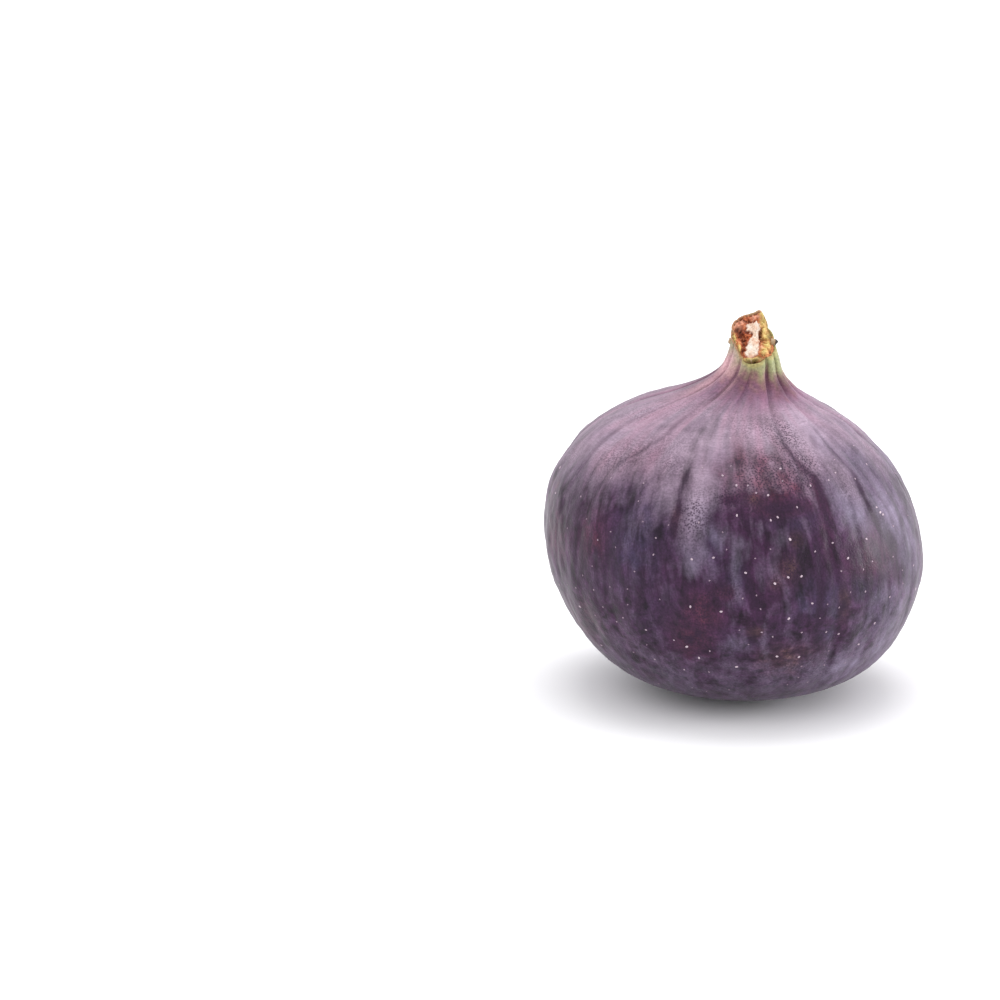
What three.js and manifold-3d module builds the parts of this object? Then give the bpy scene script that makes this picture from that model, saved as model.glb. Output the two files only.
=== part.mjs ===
// A fresh fig, as picked: one fruit that stands on its flattened base, with the stub of its stalk on top.
// Millimetres, +Z up, -Y is the front. The origin is on the surface it stands on, under its box's middle.
// The whole fruit grew as one piece, so it is one solid: a fluted and ribbed skin laid over an upright
// profile, with the scales that close its eye underneath and the bract scars on its stalk fused to it.
import * as THREE from "three";
import { mergeVertices } from "three/addons/utils/BufferGeometryUtils.js";
import Module from "manifold-3d";

// ---- driving dimensions ----
const bellyRadius = 29.8; // half the width of the fruit
const shoulderTop = 48.5; // height at which the body turns up into the neck
const footRadius = 7.5; // the flat ring that it stands on, from eyeRadius out to here
const eyeRadius = 4.6; // the dimple round the eye
const eyeDepth = 1.7; // how far the dimple is sunk above the ring
const cutRadius = 3.4; // the stalk's where it was cut
const cutHeight = 56.55; // of the middle of the slanting cut
const cutSlope = { toRight: -0.12, toBack: 1.04 }; // how steeply the cut climbs
// Where the cut's ragged edge stands up or dips: bearing in degrees, height, width in degrees.
const cutJags = [[147, 1.2, 17], [-55, 0.9, 22], [30, 0.7, 25], [205, -0.45, 30]];

// Side profile from the foot ring to the stalk: share of the belly radius, share of the shoulder height.
const profileShares = [
  [0.252, 0], [0.419, 0.028], [0.624, 0.072], [0.795, 0.155], [0.931, 0.289], [0.999, 0.433],
  [0.989, 0.577], [0.926, 0.701], [0.813, 0.804], [0.666, 0.887], [0.493, 0.948], [0.298, 1.002],
  [0.188, 1.052], [0.144, 1.103], [0.116, 1.165], [0.108, 1.27],
];
// The fruit leans: how far its middle line stands to the right at each share of the shoulder height.
const leanShares = [
  [0, -0.4], [0.165, -0.3], [0.412, -1.1], [0.66, -2.4], [0.845, -3.1], [0.948, -2.5], [1.03, 0.1],
  [1.113, 1.1], [1.27, 0.6],
];
// Two slack lobes that leave the body a little less than round: their share of the radius.
const lobes = { oval: 0.012, threeCornered: 0.008 };

// Grooves between the flutes of the neck, which run on down the body: bearing at the neck and at the
// belly, in degrees from the front round to the right, and how strongly it marks the body.
const grooves = [
  [-66, -73, 0.6], [-33, -45, 0.8], [-4, -8, 0.35], [29, 28, 1], [56, 49, 0.75], [84, 80, 0.6],
  [119, 116, 0.9], [152, 154, 0.5], [186, 190, 0.8], [222, 225, 0.6], [258, 255, 0.9],
];
// Depth by share of the height: of every groove on the neck, of a groove of strength 1 on the body, and
// of the slack valley down the middle of each flute.
const neckDepths = [[0.78, 0], [0.9, 0.35], [0.99, 0.8], [1.06, 0.75], [1.13, 0.35], [1.27, 0.1]];
const bodyDepths = [[0, 0], [0.06, 0.15], [0.3, 0.42], [0.7, 0.45], [0.92, 0.3], [1, 0]];
const ribDepths = [[0, 0], [0.06, 0.1], [0.3, 0.22], [0.7, 0.24], [0.9, 0.15], [1, 0]];
const evenShare = 0.4; // of a groove's depth on the neck, which doesn't vary with its strength
const grooveTurn = { from: 0.45, to: 1 }; // shares of the height between which a groove's bearing changes
const valleySharpness = 0.6; // the lower, the narrower the grooves and the broader the ribs

// Scales that close the eye, in rings with their tips together, roots sunk in the dimple.
const scaleThickness = 0.7;
const scaleSink = 0.12;
const scaleRings = [
  { count: 7, outAt: 3.1, length: 2.2, width: 1.8, turn: 0, droop: 0 },
  { count: 5, outAt: 1.8, length: 1.9, width: 1.5, turn: 0.5, droop: 0.25 },
];
// Scars of the bracts that sat on the stalk: low knobs just below the cut, each with its size outward,
// across and upward.
const bractHeight = 56.1;
const bracts = [
  { bearing: -95, size: [0.8, 1.5, 1] },
  { bearing: 84, size: [1.2, 1.8, 1.3] },
  { bearing: 196, size: [1.1, 1.9, 1.3] },
];

// ---- how finely the skin is laid out ----
const columnsPerFlute = 8;
const eyeRows = 3;
const bodyRows = 24;
const neckRows = 7;
const cutRows = 4;

const degrees = Math.PI / 180;
const columns = grooves.length * columnsPerFlute;
const neckFoot = 1.03 * shoulderTop;
const smooth = (t) => t * t * (3 - 2 * t);
const bump = (distance, width) => Math.exp(-((distance / width) ** 2));
const mix = (from, to, share) => from + (to - from) * share;
const eased = (from, to, place) => smooth(THREE.MathUtils.clamp((place - from) / (to - from), 0, 1));

// A value read off a list of [place, value] pairs, eased between them.
function easedAt(pairs, place) {
  const next = pairs.findIndex(([at]) => at > place);
  if (next < 0) return pairs[pairs.length - 1][1];
  const [from, low] = pairs[Math.max(next - 1, 0)];
  const [to, high] = pairs[next];
  return mix(low, high, eased(from, to, place));
}

// A smooth line through points given as a distance across (x) and a share of the shoulder height (z).
function smoothLine(points) {
  const curve = new THREE.CatmullRomCurve3(
    points.map(([x, rise]) => new THREE.Vector3(x, 0, rise * shoulderTop)),
    false,
    "catmullrom",
  );
  return curve.getPoints(400);
}

const profileLine = smoothLine(profileShares.map(([out, rise]) => [out * bellyRadius, rise]));
const leanLine = smoothLine(leanShares.map(([rise, aside]) => [aside, rise]));

// The x of a line that only climbs, at a height.
function readAt(line, height) {
  const next = Math.max(line.findIndex((p) => p.z > height), 1);
  const [low, high] = [line[next - 1], line[next]];
  return low.x + ((high.x - low.x) * (height - low.z)) / (high.z - low.z);
}

// A groove's bearing at a height. The one past the last is the first again, a turn further on.
function grooveBearing(index, height) {
  const [atNeck, atBelly] = grooves[index % grooves.length];
  const turns = Math.floor(index / grooves.length);
  return mix(atBelly, atNeck, eased(grooveTurn.from, grooveTurn.to, height / shoulderTop)) + 360 * turns;
}

// A column's place across its flute, from 0 in one groove to 1 in the next, its bearing at a height, and
// how strong the grooves beside it are.
function columnAt(k, height) {
  const flute = Math.floor(k / columnsPerFlute);
  const across = (k % columnsPerFlute) / columnsPerFlute;
  const bearing = mix(grooveBearing(flute, height), grooveBearing(flute + 1, height), across) * degrees;
  const strength = mix(grooves[flute][2], grooves[(flute + 1) % grooves.length][2], smooth(across));
  return { bearing, across, strength };
}

// How deep a valley is at a place across it: 1 in its bottom at a whole number, 0 on the ribs between.
const valley = (across) => 1 - Math.abs(Math.sin(Math.PI * across)) ** valleySharpness;

// A point of the fruit before its grooves: out from the leaning middle line, less how far it is sunk.
function formPoint(bearing, height, sunk) {
  const slack = 1 + lobes.oval * Math.sin(2 * bearing) + lobes.threeCornered * Math.cos(3 * bearing);
  const radius = readAt(profileLine, height) * slack - sunk;
  return new THREE.Vector3(
    readAt(leanLine, height) + radius * Math.sin(bearing),
    -radius * Math.cos(bearing),
    height,
  );
}

function skinPoint(k, height) {
  const rise = height / shoulderTop;
  const { bearing, across, strength } = columnAt(k, height);
  const onNeck = easedAt(neckDepths, rise) * mix(evenShare, 1, strength);
  const onBody = easedAt(bodyDepths, rise) * strength;
  const rib = easedAt(ribDepths, rise) * valley(across + 0.5);
  const sunk = (onNeck + onBody) * valley(across) + rib;
  return formPoint(bearing, height, sunk);
}

// A ring of points, one to a column, from a function of the column's number.
const ringOf = (pointOf) => Array.from({ length: columns }, (_, k) => pointOf(k));

// The height of the cut's edge at a bearing: a slanting plane with jags.
function cutEdge(bearing) {
  const aside = cutRadius * Math.sin(bearing);
  const back = -cutRadius * Math.cos(bearing);
  const jags = cutJags.map(([at, rise, width]) => {
    const turn = THREE.MathUtils.euclideanModulo(bearing / degrees - at + 180, 360) - 180;
    return rise * bump(turn, width);
  });
  const plane = cutHeight + cutSlope.toRight * aside + cutSlope.toBack * back;
  return jags.reduce((height, jag) => height + jag, plane);
}

// How far the cut stands out of its plane, by share of the way from its middle to its edge: a bark lip,
// a dried furrow inside it that is deepest on the two flanks, and the pith that stands up in the middle.
function cutRelief(out, bearing) {
  const lip = 0.3 * bump(out - 0.88, 0.1);
  const furrow = -0.55 * bump(out - 0.6, 0.2) * (0.45 + 0.55 * Math.sin(bearing) ** 2);
  const pith = 0.2 * bump(out, 0.35);
  return lip + furrow + pith;
}

// The dimple, from round its middle out to the flat ring that the fruit stands on.
function footRings() {
  const middle = readAt(leanLine, 0);
  const ring = (radius, height) =>
    ringOf((k) => {
      const { bearing } = columnAt(k, 0);
      return new THREE.Vector3(middle + radius * Math.sin(bearing), -radius * Math.cos(bearing), height);
    });
  const dimple = Array.from({ length: eyeRows }, (_, i) => {
    const out = (i + 1) / eyeRows;
    return ring(eyeRadius * out, eyeDepth * (1 - smooth(out)));
  });
  return [...dimple, ring(footRadius, 0)];
}

// The body's rings, evenly spaced along the profile, and the neck's, which close up to the cut's slant.
function sideRings() {
  const bodyLine = new THREE.CatmullRomCurve3(profileLine.filter((p) => p.z <= neckFoot));
  const places = bodyLine.getSpacedPoints(bodyRows).slice(1);
  const bodyRings = places.map(({ z }) => ringOf((k) => skinPoint(k, z)));
  const neckRings = Array.from({ length: neckRows }, (_, i) => {
    const up = (i + 1) / neckRows;
    return ringOf((k) => skinPoint(k, mix(neckFoot, cutEdge(columnAt(k, cutHeight).bearing), up)));
  });
  return [...bodyRings, ...neckRings];
}

// The cut's rings, inward from its edge.
function cutRings(edge, middle, outward) {
  return Array.from({ length: cutRows - 1 }, (_, i) => {
    const out = 1 - (i + 1) / cutRows;
    return edge.map((p, k) => {
      const relief = cutRelief(out, columnAt(k, cutHeight).bearing);
      return middle.clone().lerp(p, out).addScaledVector(outward, relief);
    });
  });
}

// One closed mesh: quads between the rings, and a fan at each end.
function skinGeometry() {
  const sides = [...footRings(), ...sideRings()];
  const edge = sides[sides.length - 1];
  const middle = edge.reduce((sum, p) => sum.add(p), new THREE.Vector3()).divideScalar(columns);
  const outward = new THREE.Vector3(-cutSlope.toRight, -cutSlope.toBack, 1).normalize();
  const rings = [...sides, ...cutRings(edge, middle, outward)];
  const eyeTop = new THREE.Vector3(readAt(leanLine, 0), 0, eyeDepth);
  const pithTop = middle.clone().addScaledVector(outward, cutRelief(0, 0));
  const last = (rings.length - 1) * columns;
  const eyeIndex = rings.length * columns;
  const pithIndex = eyeIndex + 1;
  const faces = [];
  for (let k = 0; k < columns; k++) {
    const next = (k + 1) % columns;
    for (let start = 0; start < last; start += columns) {
      const [a, b] = [start + k, start + next];
      const [c, d] = [a + columns, b + columns];
      faces.push(a, b, d, a, d, c);
    }
    faces.push(eyeIndex, next, k);
    faces.push(pithIndex, last + k, last + next);
  }
  const geometry = new THREE.BufferGeometry().setFromPoints([...rings.flat(), eyeTop, pithTop]);
  geometry.setIndex(faces);
  return geometry;
}

// A scale: a flat drop, pointed at one end, its root at the origin and its tip along +X.
function scaleGeometry(length, width) {
  const geometry = new THREE.SphereGeometry(0.5, 7, 5);
  const place = geometry.attributes.position;
  for (let i = 0; i < place.count; i++) {
    const along = place.getX(i) + 0.5;
    const taper = 1.5 * (1 - 0.75 * along * along);
    place.setXYZ(i, along * length, place.getY(i) * width * taper, place.getZ(i) * scaleThickness);
  }
  return geometry;
}

function eyeScales() {
  const middle = readAt(leanLine, 0);
  return scaleRings.flatMap(({ count, outAt, length, width, turn, droop }) => {
    const roof = eyeDepth * (1 - smooth(outAt / eyeRadius));
    return Array.from({ length: count }, (_, k) =>
      scaleGeometry(length, width)
        .rotateY(droop)
        .rotateZ(Math.PI)
        .translate(outAt, 0, roof + scaleSink)
        .rotateZ(((k + turn) / count) * 2 * Math.PI)
        .translate(middle, 0, 0),
    );
  });
}

function bractScars() {
  return bracts.map(({ bearing, size }) => {
    const root = formPoint(bearing * degrees, bractHeight, 0);
    return new THREE.SphereGeometry(0.5, 7, 5)
      .scale(...size)
      .rotateZ((bearing - 90) * degrees)
      .translate(root.x, root.y, root.z);
  });
}

const wasm = await Module();
wasm.setup();

// A geometry as a solid that joins, with the points that its faces share merged.
function solidOf(geometry) {
  const bare = geometry.clone();
  bare.deleteAttribute("normal");
  bare.deleteAttribute("uv");
  const merged = mergeVertices(bare, 1e-4);
  const mesh = new wasm.Mesh({
    numProp: 3,
    vertProperties: merged.attributes.position.array,
    triVerts: new Uint32Array(merged.index.array),
  });
  return new wasm.Manifold(mesh);
}

function geometryOf(solid) {
  const { vertProperties, triVerts } = solid.getMesh();
  const geometry = new THREE.BufferGeometry();
  geometry.setAttribute("position", new THREE.BufferAttribute(vertProperties, 3));
  geometry.setIndex(new THREE.BufferAttribute(triVerts, 1));
  geometry.computeVertexNormals();
  return geometry;
}

// Skin, scales and scars joined, and moved to stand on the origin.
function figGeometry() {
  const pieces = [...eyeScales(), ...bractScars()];
  const solid = pieces.reduce((joined, piece) => joined.add(solidOf(piece)), solidOf(skinGeometry()));
  const geometry = geometryOf(solid);
  geometry.computeBoundingBox();
  const centre = geometry.boundingBox.getCenter(new THREE.Vector3());
  return geometry.translate(-centre.x, -centre.y, -geometry.boundingBox.min.z);
}

const skin = new THREE.MeshStandardMaterial({ color: 0x5d4a60, roughness: 0.5, metalness: 0 });
const fig = new THREE.Mesh(figGeometry(), skin);
fig.name = "fig";

const fruit = new THREE.Group();
fruit.add(fig);

export default fruit;
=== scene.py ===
"""A fresh fig that stands on its base, dressed for rendering: its skin with flutes, ribs, veins and a waxy bloom,
the slanting cut across its stalk, its bract scars, the scales of its eye underneath, and its lenticels.
Lengths in the formulas are millimetres, and meshes are made in metres."""

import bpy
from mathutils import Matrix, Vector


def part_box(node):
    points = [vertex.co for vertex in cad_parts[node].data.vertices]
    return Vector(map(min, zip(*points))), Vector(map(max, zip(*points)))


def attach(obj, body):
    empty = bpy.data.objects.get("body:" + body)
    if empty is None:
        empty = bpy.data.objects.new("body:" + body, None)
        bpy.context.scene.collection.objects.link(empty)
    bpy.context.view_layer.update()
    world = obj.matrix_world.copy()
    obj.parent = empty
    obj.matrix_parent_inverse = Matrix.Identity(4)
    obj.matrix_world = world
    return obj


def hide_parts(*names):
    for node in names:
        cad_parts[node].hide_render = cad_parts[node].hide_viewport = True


bl_info = {
    "name": "Fresh fig",
    "version": (1, 0, 0),
    "blender": (4, 5, 0),
    "location": "3D View > Sidebar > Fig",
    "description": "Makes the skin, stalk, eye and lenticels of a fresh fig, and a pale stage for it",
    "category": "Add Mesh",
}

from functools import lru_cache, partial
from math import cos, pi, radians, sin

import bpy
import numpy as np
from mathutils import Matrix, Vector

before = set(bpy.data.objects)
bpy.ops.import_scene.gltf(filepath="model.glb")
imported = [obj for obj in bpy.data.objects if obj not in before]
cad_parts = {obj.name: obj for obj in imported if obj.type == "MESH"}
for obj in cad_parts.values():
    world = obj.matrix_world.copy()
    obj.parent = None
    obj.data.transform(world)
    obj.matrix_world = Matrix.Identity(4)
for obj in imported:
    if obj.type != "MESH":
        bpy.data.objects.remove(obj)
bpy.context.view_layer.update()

MM = 0.001
BODY = "root"
NODE = "fig"
CAD_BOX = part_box(NODE)

# ---- the fruit's form, in millimetres: the same named values as the solid's ----
BELLY_RADIUS = 29.8
SHOULDER_TOP = 48.5
FOOT_RADIUS = 7.5
EYE_RADIUS = 4.6
EYE_DEPTH = 1.7
CUT_RADIUS = 3.4
CUT_HEIGHT = 56.55
CUT_TO_RIGHT = -0.12
CUT_TO_BACK = 1.04
# Where the cut's edge stands up or dips: bearing in degrees, height, width in degrees.
CUT_JAGS = ((147, 1.2, 17), (-55, 0.9, 22), (30, 0.7, 25), (205, -0.45, 30))
NECK_FOOT = 1.03 * SHOULDER_TOP

# Share of the belly radius, share of the shoulder height, from the foot ring to the stalk.
PROFILE_SHARES = (
    (0.252, 0), (0.419, 0.028), (0.624, 0.072), (0.795, 0.155), (0.931, 0.289), (0.999, 0.433), (0.989, 0.577),
    (0.926, 0.701), (0.813, 0.804), (0.666, 0.887), (0.493, 0.948), (0.298, 1.002), (0.188, 1.052), (0.144, 1.103),
    (0.116, 1.165), (0.108, 1.27),
)
# How far the middle line stands to the right, and at what share of the shoulder height.
LEAN_SHARES = (
    (-0.4, 0), (-0.3, 0.165), (-1.1, 0.412), (-2.4, 0.66), (-3.1, 0.845), (-2.5, 0.948), (0.1, 1.03), (1.1, 1.113),
    (0.6, 1.27),
)
OVAL = 0.012
THREE_CORNERED = 0.008
# Grooves between the neck's flutes: bearing at the neck and at the belly, and how strongly it marks the body.
GROOVES = np.array((
    (-66, -73, 0.6), (-33, -45, 0.8), (-4, -8, 0.35), (29, 28, 1), (56, 49, 0.75), (84, 80, 0.6), (119, 116, 0.9),
    (152, 154, 0.5), (186, 190, 0.8), (222, 225, 0.6), (258, 255, 0.9),
))
# Their depths, at shares of the shoulder height: on the neck, on the body, and down the middle of each flute.
NECK_DEPTHS = ((0.78, 0), (0.9, 0.35), (0.99, 0.8), (1.06, 0.75), (1.13, 0.35), (1.27, 0.1))
BODY_DEPTHS = ((0, 0), (0.06, 0.15), (0.3, 0.42), (0.7, 0.45), (0.92, 0.3), (1, 0))
RIB_DEPTHS = ((0, 0), (0.06, 0.1), (0.3, 0.22), (0.7, 0.24), (0.9, 0.15), (1, 0))
EVEN_SHARE = 0.4  # of the depth on the neck, which weak grooves have too
GROOVE_TURN = (0.45, 1)  # shares of the shoulder height from a groove's bearing at the belly to that at the neck
VALLEY_SHARPNESS = 0.6


def smooth(t):
    """0 to 1 along an S-shaped curve as t goes from 0 to 1."""
    t = np.clip(t, 0, 1)
    return t * t * (3 - 2 * t)


def step(low, high, value):
    """0 where value is below low, 1 above high, and an S-shaped curve between them."""
    return smooth((value - low) / (high - low))


def bump(distance, width):
    """A bell curve: 1 at distance 0, about a third at distance width."""
    return np.exp(-((distance / width) ** 2))


def eased(pairs, place):
    """Reads a list of (place, value) pairs, with an S-shaped curve between neighbours."""
    places, values = np.array(pairs, float).T
    after = np.clip(np.searchsorted(places, place, side="right"), 1, len(places) - 1)
    share = smooth((place - places[after - 1]) / (places[after] - places[after - 1]))
    return values[after - 1] + (values[after] - values[after - 1]) * share


def smooth_line(points, steps=60):
    """A Catmull-Rom curve through (x, height) points: each span is a cubic whose slope at a point is half the
    way from the point before to the point after. Its ends go on straight."""
    points = np.array(points, float)
    points = np.vstack((2 * points[0] - points[1], points, 2 * points[-1] - points[-2]))
    t = np.linspace(0, 1, steps, endpoint=False)[:, None]
    spans = []
    for a, b, c, d in zip(points, points[1:], points[2:], points[3:]):
        spans.append(
            0.5 * (2 * b + (c - a) * t + (2 * a - 5 * b + 4 * c - d) * t**2 + (3 * b - a - 3 * c + d) * t**3)
        )
    return np.vstack((*spans, points[-2:-1]))


PROFILE_LINE = smooth_line([(out * BELLY_RADIUS, rise * SHOULDER_TOP) for out, rise in PROFILE_SHARES])
LEAN_LINE = smooth_line([(aside, rise * SHOULDER_TOP) for aside, rise in LEAN_SHARES])


def length_along(line):
    """How far along a line each of its points is."""
    return np.concatenate(((0,), np.cumsum(np.linalg.norm(np.diff(line, axis=0), axis=1))))


def profile(height):
    """The fruit's radius at a height, read off the profile's line."""
    return np.interp(height, PROFILE_LINE[:, 1], PROFILE_LINE[:, 0])


def lean(height):
    """How far the middle line stands to the right at a height."""
    return np.interp(height, LEAN_LINE[:, 1], LEAN_LINE[:, 0])


def valley(across):
    """How deep a groove is at a place across it: 1 where across is whole, 0 on the ribs half-way between.
    One less the sine of pi times across, raised to a power that keeps the valley narrow and the rib broad."""
    return 1 - np.abs(np.sin(pi * across)) ** VALLEY_SHARPNESS


def groove_bearings(height):
    """The bearing of each groove at each height, in radians, along a new last axis."""
    at_neck, at_belly = GROOVES[:, 0], GROOVES[:, 1]
    share = step(*GROOVE_TURN, height / SHOULDER_TOP)[..., None]
    return np.radians(at_belly + (at_neck - at_belly) * share)


def across_flutes(bearing, height):
    """Where a place lies in its flute, from 0 in one groove to 1 in the next, and how strong those grooves are."""
    past_each = (bearing[..., None] - groove_bearings(height)) % (2 * pi)
    to_each = 2 * pi - past_each
    flute = past_each.argmin(axis=-1)
    past, to_next = past_each.min(axis=-1), to_each.min(axis=-1)
    across = past / (past + to_next)
    here, following = GROOVES[flute, 2], GROOVES[(flute + 1) % len(GROOVES), 2]
    return across, here + (following - here) * smooth(across)


def fruit_radius(bearing, height):
    """The profile's radius with two slack lobes, less the grooves between the flutes and down their middles."""
    bearing, height = np.broadcast_arrays(bearing, height)
    rise = height / SHOULDER_TOP
    across, strength = across_flutes(bearing, height)
    slack = 1 + OVAL * np.sin(2 * bearing) + THREE_CORNERED * np.cos(3 * bearing)
    on_neck = eased(NECK_DEPTHS, rise) * (EVEN_SHARE + (1 - EVEN_SHARE) * strength)
    groove = on_neck + eased(BODY_DEPTHS, rise) * strength
    rib = eased(RIB_DEPTHS, rise) * valley(across + 0.5)
    return profile(height) * slack - groove * valley(across) - rib


def around(bearing, height, radius):
    """Points at a radius from the leaning middle line: x to the right, y to the back, z up."""
    return np.stack(
        np.broadcast_arrays(lean(height) + radius * np.sin(bearing), -radius * np.cos(bearing), height), axis=-1
    )


def cut_edge(bearing):
    """The height of the cut's edge: a plane that climbs to the left and the back, with bell-shaped jags."""
    height = CUT_HEIGHT + CUT_RADIUS * (CUT_TO_RIGHT * np.sin(bearing) - CUT_TO_BACK * np.cos(bearing))
    for at, rise, width in CUT_JAGS:
        height = height + rise * bump((np.degrees(bearing) - at + 180) % 360 - 180, width)
    return height


def ripple(points, wavelength, seed, waves=24):
    """A smooth random field, mostly between -1 and 1: the sum of plane waves of that wavelength, give or take
    a third, in random directions and with random phases."""
    draw = np.random.default_rng(seed)
    directions = draw.normal(size=(waves, 3))
    directions /= np.linalg.norm(directions, axis=1, keepdims=True)
    lengths = wavelength * draw.uniform(0.75, 1.35, waves)
    phases = draw.uniform(0, 2 * pi, waves)
    total = np.zeros(points.shape[:-1])
    for direction, length, phase in zip(directions, lengths, phases):
        total += np.sin(points @ direction * (2 * pi / length) + phase)
    return total / np.sqrt(waves / 2) * 0.7


@lru_cache(maxsize=1)
def to_row_frame():
    """What moves the form's own origin, under the upright line that the lean is measured from, to the frame's,
    which is under the middle of the solid's box: the middle of that box less the middle of the form's."""
    bearing = np.linspace(0, 2 * pi, 720, endpoint=False)
    heights = np.linspace(0.1, SHOULDER_TOP, 300)[:, None]
    form = around(*np.broadcast_arrays(bearing, heights), fruit_radius(*np.broadcast_arrays(bearing, heights)))
    form_middle = (form.min(axis=(0, 1)) + form.max(axis=(0, 1))) / 2
    box_middle = np.add(*CAD_BOX) / 2 / MM
    return (box_middle - form_middle) * (1, 1, 0)


# ---- meshes ----
def closed_grid(grid):
    """(points, quads, triangles) of a closed surface: quads between neighbouring rings of a grid, and a fan from
    each end ring to a pole at its middle. Point number: row * columns + column; then the first pole, and the last."""
    rows, columns = grid.shape[:2]
    first, last, top = rows * columns, rows * columns + 1, (rows - 1) * columns
    column = np.arange(columns)
    beside = (column + 1) % columns
    start = np.arange(rows - 1)[:, None] * columns
    corners = (start + column, start + beside, start + columns + beside, start + columns + column)
    start_fan = np.stack((np.full(columns, first), beside, column), axis=-1)
    end_fan = np.stack((np.full(columns, last), top + column, top + beside), axis=-1)
    points = np.vstack((grid.reshape(-1, 3), grid[[0, -1]].mean(axis=1)))
    return points, np.stack(corners, axis=-1).reshape(-1, 4), np.vstack((start_fan, end_fan))


def pole_ends(values):
    """A value for each point of a closed grid, its poles included: a pole takes its ring's mean."""
    return np.concatenate((values.ravel(), values[[0, -1]].mean(axis=1)))


def joined(key, parts):
    """Several grids, each with a value at each point, as one surface of closed grids with those values as an
    attribute."""
    surfaces, count = [], 0
    for grid, _ in parts:
        points, quads, fans = closed_grid(grid)
        surfaces.append((points, quads + count, fans + count))
        count += len(points)
    values = np.concatenate([pole_ends(values) for _, values in parts])
    return [np.vstack(group) for group in zip(*surfaces)], {key: values}


def make_piece(name, material, surface, attributes):
    """A smooth-shaded mesh object from (points in millimetres, quads, triangles), which rides on the fruit.
    An attribute is a number, or a vector, for each point."""
    points, quads, fans = surface
    mesh = bpy.data.meshes.new(name)
    mesh.from_pydata((points + to_row_frame()) * MM, [], quads.tolist() + fans.tolist())
    for key, values in attributes.items():
        values = np.asarray(values, np.float32)
        is_vector = values.ndim == 2
        layer = mesh.attributes.new(key, "FLOAT_VECTOR" if is_vector else "FLOAT", "POINT")
        layer.data.foreach_set("vector" if is_vector else "value", values.ravel())
    mesh.polygons.foreach_set("use_smooth", np.ones(len(mesh.polygons), bool))
    mesh.materials.append(material)
    mesh.update()
    piece = bpy.data.objects.new(name, mesh)
    bpy.context.scene.collection.objects.link(piece)
    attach(piece, BODY)
    return piece


def normals_of(grid):
    """Outward unit normals of a grid of rings: the cross product of the way round and the way up."""
    way_round = np.roll(grid, -1, axis=1) - np.roll(grid, 1, axis=1)
    way_up = np.gradient(grid, axis=0)
    normal = np.cross(way_round, way_up)
    return normal / np.maximum(np.linalg.norm(normal, axis=-1, keepdims=True), 1e-9)


# ---- the skin ----
SKIN_COLUMNS = 440
DIMPLE_ROWS = 9
BODY_ROWS = 168
NECK_ROWS = 28
# The bark's rolled lip and the floor under the cut: share of the way out, and height above the cut's plane.
LIP_ROWS = ((0.985, 0.06), (0.95, 0.08), (0.92, -0.05), (0.9, -0.45), (0.86, -0.9), (0.5, -1.0), (0.2, -1.0))

LUMP_DEPTH = 0.16
LUMPS_BEGIN, LUMPS_END = (2, 9), (44, 51)  # heights
CREASE_DEPTH = 0.18
CREASES_BEGIN = (4, 16)
WRINKLE_COUNT = 30
WRINKLE_DEPTH = 0.1
WRINKLES_AT, WRINKLES_REACH = 6, 4.5  # from the eye's middle
GRAIN_DEPTH = 0.015
# Between these heights the body's creases and ribs end, and the flutes of the neck begin.
BODY_ENDS = (44, 50)
# A stroke comes in, and dies away, over twice these lengths.
STROKE_COMES, STROKE_GOES = 1.5, 1
STROKE_WAVER = 0.008
# The radius that the lengthways noise is read at; and the height below which it is read faster, so that streaks
# shorten to mottling, with how much faster and how soon.
STREAK_RADIUS = 20.0
MOTTLED_BELOW = 22.0
MOTTLING = 2.6
MOTTLING_EASE = 5
# The bloom's thickness on the shoulder, and round the base, where it is partly painted light bounced up from the
# floor; and how far below and above its foot it sets in.
BLOOM_THICKNESS = 0.62
BASE_BLOOM_AND_FLOOR_LIGHT = 0.18
BLOOM_EDGE = (-9, 5)
# Heights over which the base's bloom and painted floor light end, the bloom turns mauve and then pink, and it thins
# on the neck.
BASE_ENDS = (7, 19)
MAUVE_BEGINS = (30, 42)
PINK_BEGINS = (34, 43)
NECK_BARES = (47.5, 50.5)
# Heights over which the neck's creases turn dusky and stop again, and over which the neck turns green.
DUSK_BEGINS = (46, 50)
DUSK_ENDS = (51, 53.5)
GREEN_FROM, GREEN_OVER = 46, 10.5

# Dark lines where the skin creased as it swelled: strength, half the width, and (height, bearing) along it.
VEINS = (
    (0.85, 0.6, (
        (24, 28.5), (29.5, 27.5), (33, 29.2), (36, 30.8), (38.7, 32), (40, 30.8), (41.5, 27.5), (44, 25), (46, 27),
        (48.5, 29),
    )),
    (0.6, 0.45, ((24, 50.5), (28, 51), (31, 50), (34, 48.5), (38.5, 50.5), (43, 48.5), (45, 50))),
    (0.75, 0.35, ((16, 20.5), (18, 21), (22, 22.7), (28.5, 23.7), (31, 25))),
    (0.5, 0.45, ((20, 2), (25, 2), (30, 1), (33, 2.5))),
    (0.5, 0.4, ((33, 3), (36, 3.5), (40, 4.5))),
    (0.7, 0.45, ((35, -19), (38, -19.5), (40, -18.5), (41.5, -17))),
    (0.5, 0.5, ((40, -50), (42, -43), (44.5, -36), (46.5, -35.5), (48.5, -38))),
)
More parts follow.
